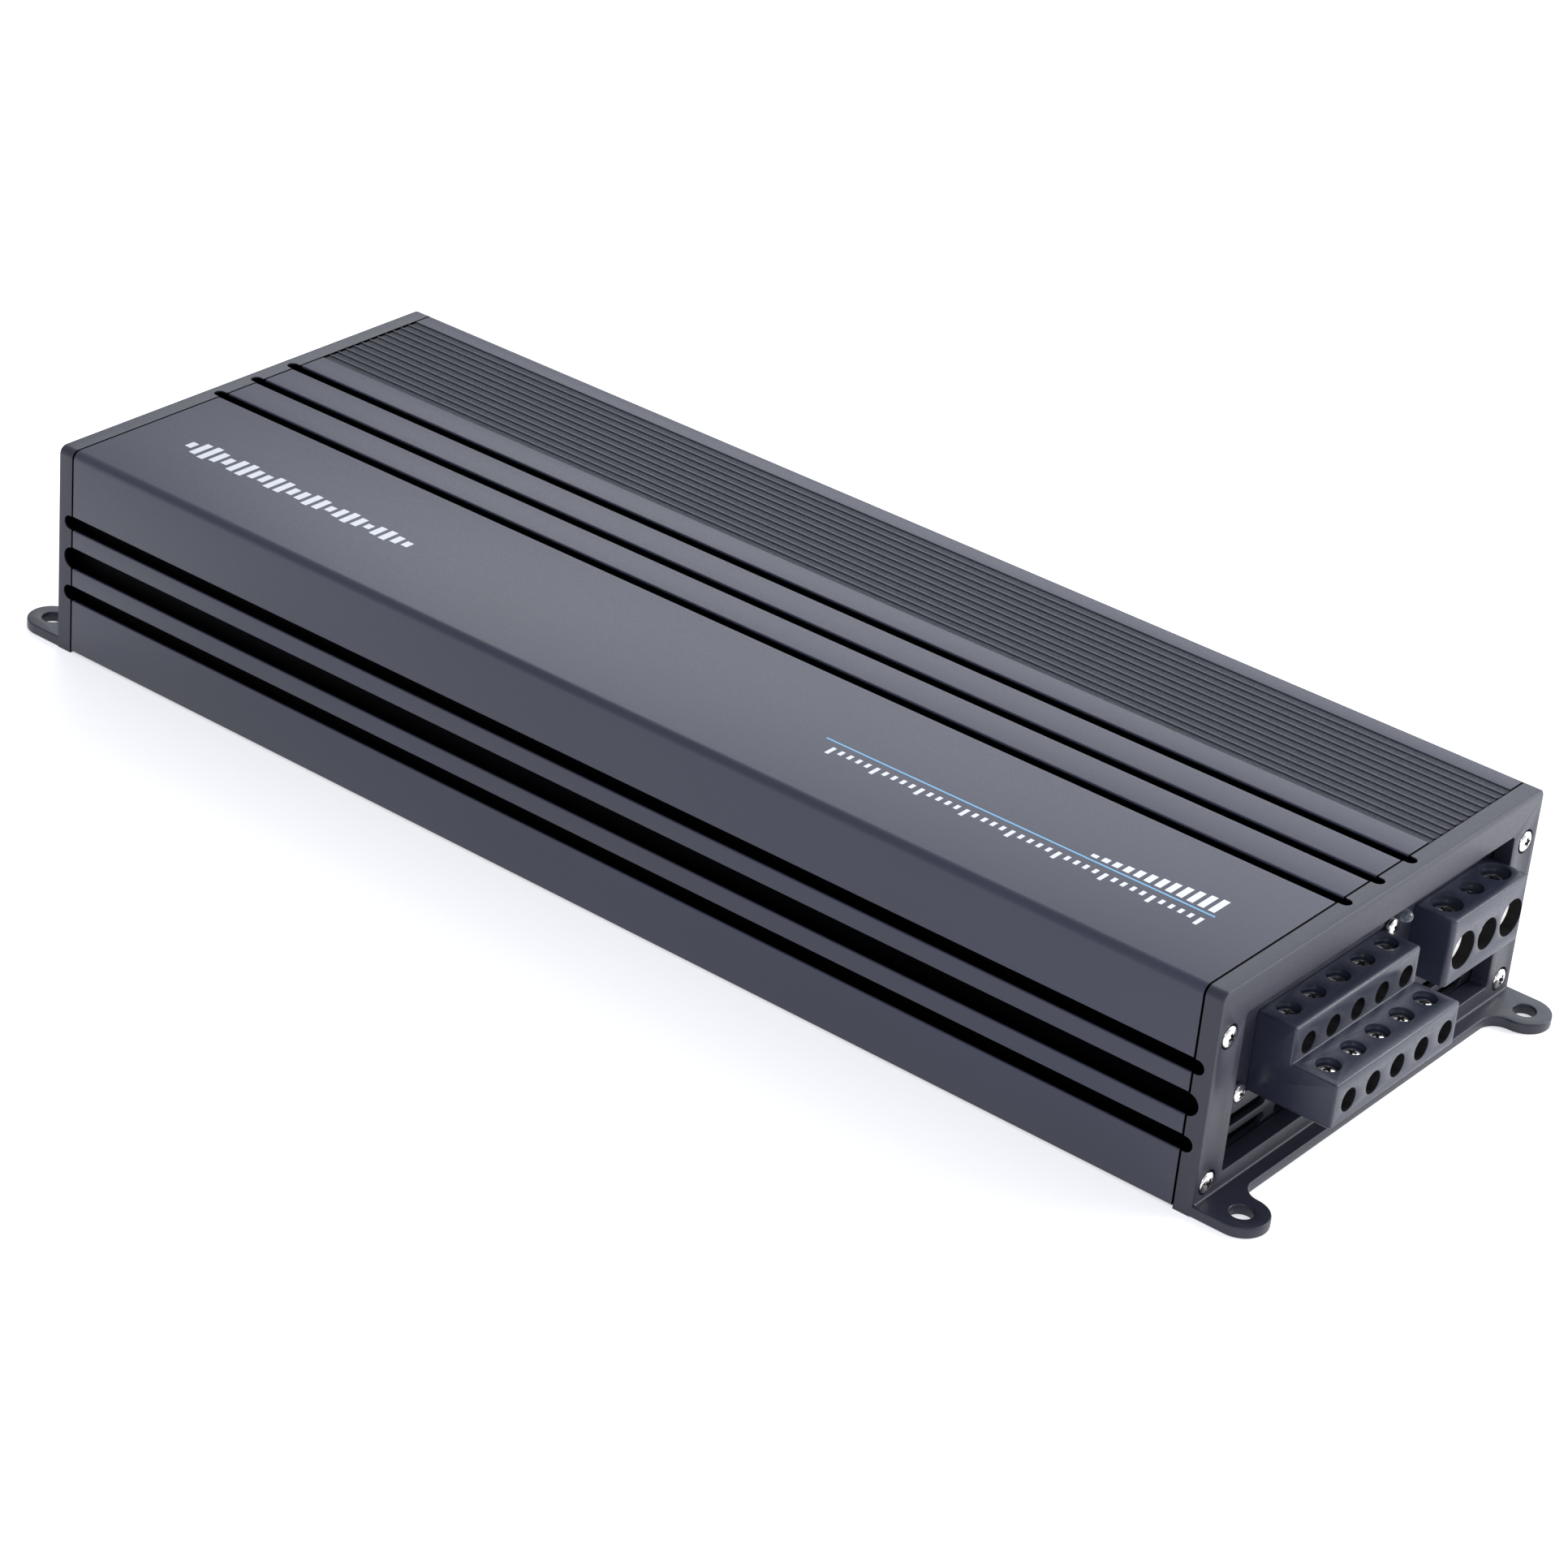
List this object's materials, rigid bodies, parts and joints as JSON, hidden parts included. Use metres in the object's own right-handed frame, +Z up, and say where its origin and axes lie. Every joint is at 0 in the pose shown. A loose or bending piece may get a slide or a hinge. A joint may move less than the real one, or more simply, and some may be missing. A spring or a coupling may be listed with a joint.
{
  "type": "car amplifier",
  "caption": "Multi-channel car audio amplifier: grooved extruded heatsink shell, end frames with mounting ears, screw-clamp power and speaker terminals.",
  "frame": {"origin": "on the resting plane, under the middle of the extruded shell", "axes": "+X along the length towards the terminal end, +Z up, +Y towards the power terminal block's side"},
  "size_m": [0.3652, 0.1252, 0.0536],
  "materials": {
    "charcoal_finish": "satin powder coat over aluminium, fine grain",
    "panel_black": "matt black powder coat",
    "cover_black": "matt black powder coat",
    "board": "solder-masked laminate",
    "block_plastic": "blue-grey moulded plastic, lightly frosted",
    "nickel": "bright nickel plate",
    "jack_plastic": "black moulded plastic with plated sleeves",
    "control_plastic": "black moulded plastic",
    "winding": "enamelled copper winding",
    "capacitor_sleeve": "shrink sleeve over aluminium can",
    "clamp_steel": "zinc-plated steel and black transistor bodies",
    "clear_lens": "clear lamp lens"
  },
  "bodies": {
    "root": {"heatsink_shell": "charcoal_finish", "terminal_end_frame": "charcoal_finish", "control_end_frame": "charcoal_finish", "terminal_panel": "panel_black", "control_panel": "panel_black", "bottom_cover": "cover_black", "circuit_board": "board", "speaker_terminal_block": "block_plastic", "power_terminal_block": "block_plastic", "power_barrel_ground": "nickel", "power_barrel_remote": "nickel", "power_barrel_positive": "nickel", "terminal_frame_screw_1": "nickel", "terminal_frame_screw_2": "nickel", "terminal_frame_screw_3": "nickel", "terminal_frame_screw_4": "nickel", "control_frame_screw_1": "nickel", "control_frame_screw_2": "nickel", "control_frame_screw_3": "nickel", "control_frame_screw_4": "nickel", "block_screw_1": "nickel", "block_screw_2": "nickel", "control_board": "board", "input_jack_block": "jack_plastic", "remote_level_socket": "control_plastic", "power_transformer": "winding", "filter_capacitor_1": "capacitor_sleeve", "filter_capacitor_2": "capacitor_sleeve", "filter_capacitor_3": "capacitor_sleeve", "output_choke_1": "winding", "output_choke_2": "winding", "transistor_clamp_near": "clamp_steel", "transistor_clamp_far": "clamp_steel", "status_lamp": "clear_lens"},
    "power_pad_ground": {"power_pad_ground": "nickel"},
    "power_screw_ground": {"power_screw_ground": "nickel"},
    "power_pad_remote": {"power_pad_remote": "nickel"},
    "power_screw_remote": {"power_screw_remote": "nickel"},
    "power_pad_positive": {"power_pad_positive": "nickel"},
    "power_screw_positive": {"power_screw_positive": "nickel"},
    "speaker_screw_upper_1": {"speaker_screw_upper_1": "nickel"},
    "speaker_screw_upper_2": {"speaker_screw_upper_2": "nickel"},
    "speaker_screw_upper_3": {"speaker_screw_upper_3": "nickel"},
    "speaker_screw_upper_4": {"speaker_screw_upper_4": "nickel"},
    "speaker_screw_upper_5": {"speaker_screw_upper_5": "nickel"},
    "speaker_screw_lower_1": {"speaker_screw_lower_1": "nickel"},
    "speaker_screw_lower_2": {"speaker_screw_lower_2": "nickel"},
    "speaker_screw_lower_3": {"speaker_screw_lower_3": "nickel"},
    "speaker_screw_lower_4": {"speaker_screw_lower_4": "nickel"},
    "speaker_screw_lower_5": {"speaker_screw_lower_5": "nickel"},
    "front_level_knob": {"front_level_knob": "control_plastic"},
    "rear_level_knob": {"rear_level_knob": "control_plastic"},
    "sub_level_knob": {"sub_level_knob": "control_plastic"},
    "front_crossover_knob": {"front_crossover_knob": "control_plastic"},
    "rear_crossover_knob": {"rear_crossover_knob": "control_plastic"},
    "sub_crossover_knob": {"sub_crossover_knob": "control_plastic"},
    "input_mode_switch_slider": {"input_mode_switch_slider": "control_plastic"},
    "rear_filter_switch_slider": {"rear_filter_switch_slider": "control_plastic"},
    "front_filter_switch_slider": {"front_filter_switch_slider": "control_plastic"}
  },
  "joints": [
    {"name": "power_pad_ground_lift", "type": "slide", "parent": "root", "child": "power_pad_ground", "axis": [0, 0, 1], "range_m": [0, 0.0028]},
    {"name": "power_screw_ground_turn", "type": "hinge", "parent": "power_pad_ground", "child": "power_screw_ground", "pos_m": [0.1668, 0.0274, 0.0366], "axis": [0, 0, 1], "range_deg": [0, 1440]},
    {"name": "power_pad_remote_lift", "type": "slide", "parent": "root", "child": "power_pad_remote", "axis": [0, 0, 1], "range_m": [0, 0.0021]},
    {"name": "power_screw_remote_turn", "type": "hinge", "parent": "power_pad_remote", "child": "power_screw_remote", "pos_m": [0.1668, 0.0373, 0.0366], "axis": [0, 0, 1], "range_deg": [0, 1080]},
    {"name": "power_pad_positive_lift", "type": "slide", "parent": "root", "child": "power_pad_positive", "axis": [0, 0, 1], "range_m": [0, 0.0028]},
    {"name": "power_screw_positive_turn", "type": "hinge", "parent": "power_pad_positive", "child": "power_screw_positive", "pos_m": [0.1668, 0.0472, 0.0366], "axis": [0, 0, 1], "range_deg": [0, 1440]},
    {"name": "speaker_screw_upper_1_turn", "type": "hinge", "parent": "root", "child": "speaker_screw_upper_1", "pos_m": [0.166, -0.0332, 0.0364], "axis": [0, 0, 1], "range_deg": [0, 1440]},
    {"name": "speaker_screw_upper_2_turn", "type": "hinge", "parent": "root", "child": "speaker_screw_upper_2", "pos_m": [0.166, -0.0238, 0.0364], "axis": [0, 0, 1], "range_deg": [0, 1440]},
    {"name": "speaker_screw_upper_3_turn", "type": "hinge", "parent": "root", "child": "speaker_screw_upper_3", "pos_m": [0.166, -0.0144, 0.0364], "axis": [0, 0, 1], "range_deg": [0, 1440]},
    {"name": "speaker_screw_upper_4_turn", "type": "hinge", "parent": "root", "child": "speaker_screw_upper_4", "pos_m": [0.166, -0.005, 0.0364], "axis": [0, 0, 1], "range_deg": [0, 1440]},
    {"name": "speaker_screw_upper_5_turn", "type": "hinge", "parent": "root", "child": "speaker_screw_upper_5", "pos_m": [0.166, 0.0044, 0.0364], "axis": [0, 0, 1], "range_deg": [0, 1440]},
    {"name": "speaker_screw_lower_1_turn", "type": "hinge", "parent": "root", "child": "speaker_screw_lower_1", "pos_m": [0.1773, -0.0332, 0.0278], "axis": [0, 0, 1], "range_deg": [0, 1440]},
    {"name": "speaker_screw_lower_2_turn", "type": "hinge", "parent": "root", "child": "speaker_screw_lower_2", "pos_m": [0.1773, -0.0238, 0.0278], "axis": [0, 0, 1], "range_deg": [0, 1440]},
    {"name": "speaker_screw_lower_3_turn", "type": "hinge", "parent": "root", "child": "speaker_screw_lower_3", "pos_m": [0.1773, -0.0144, 0.0278], "axis": [0, 0, 1], "range_deg": [0, 1440]},
    {"name": "speaker_screw_lower_4_turn", "type": "hinge", "parent": "root", "child": "speaker_screw_lower_4", "pos_m": [0.1773, -0.005, 0.0278], "axis": [0, 0, 1], "range_deg": [0, 1440]},
    {"name": "speaker_screw_lower_5_turn", "type": "hinge", "parent": "root", "child": "speaker_screw_lower_5", "pos_m": [0.1773, 0.0044, 0.0278], "axis": [0, 0, 1], "range_deg": [0, 1440]},
    {"name": "front_level_knob_turn", "type": "hinge", "parent": "root", "child": "front_level_knob", "pos_m": [-0.1635, -0.008, 0.0335], "axis": [-1, 0, 0], "range_deg": [-150, 150]},
    {"name": "rear_level_knob_turn", "type": "hinge", "parent": "root", "child": "rear_level_knob", "pos_m": [-0.1635, -0.0215, 0.0335], "axis": [-1, 0, 0], "range_deg": [-150, 150]},
    {"name": "sub_level_knob_turn", "type": "hinge", "parent": "root", "child": "sub_level_knob", "pos_m": [-0.1635, -0.035, 0.0335], "axis": [-1, 0, 0], "range_deg": [-150, 150]},
    {"name": "front_crossover_knob_turn", "type": "hinge", "parent": "root", "child": "front_crossover_knob", "pos_m": [-0.1635, -0.008, 0.016], "axis": [-1, 0, 0], "range_deg": [-150, 150]},
    {"name": "rear_crossover_knob_turn", "type": "hinge", "parent": "root", "child": "rear_crossover_knob", "pos_m": [-0.1635, -0.0215, 0.016], "axis": [-1, 0, 0], "range_deg": [-150, 150]},
    {"name": "sub_crossover_knob_turn", "type": "hinge", "parent": "root", "child": "sub_crossover_knob", "pos_m": [-0.1635, -0.035, 0.016], "axis": [-1, 0, 0], "range_deg": [-150, 150]},
    {"name": "input_mode_switch_slide", "type": "slide", "parent": "root", "child": "input_mode_switch_slider", "axis": [0, 1, 0], "range_m": [-0.002, 0.002]},
    {"name": "rear_filter_switch_slide", "type": "slide", "parent": "root", "child": "rear_filter_switch_slider", "axis": [0, 1, 0], "range_m": [-0.002, 0.002]},
    {"name": "front_filter_switch_slide", "type": "slide", "parent": "root", "child": "front_filter_switch_slider", "axis": [0, 1, 0], "range_m": [-0.002, 0.002]}
  ],
  "couplings": [
    {"joint": "power_screw_ground_turn", "follows": "power_pad_ground_lift", "rad_per_m": 8975.9},
    {"joint": "power_screw_remote_turn", "follows": "power_pad_remote_lift", "rad_per_m": 8975.9},
    {"joint": "power_screw_positive_turn", "follows": "power_pad_positive_lift", "rad_per_m": 8975.9}
  ]
}
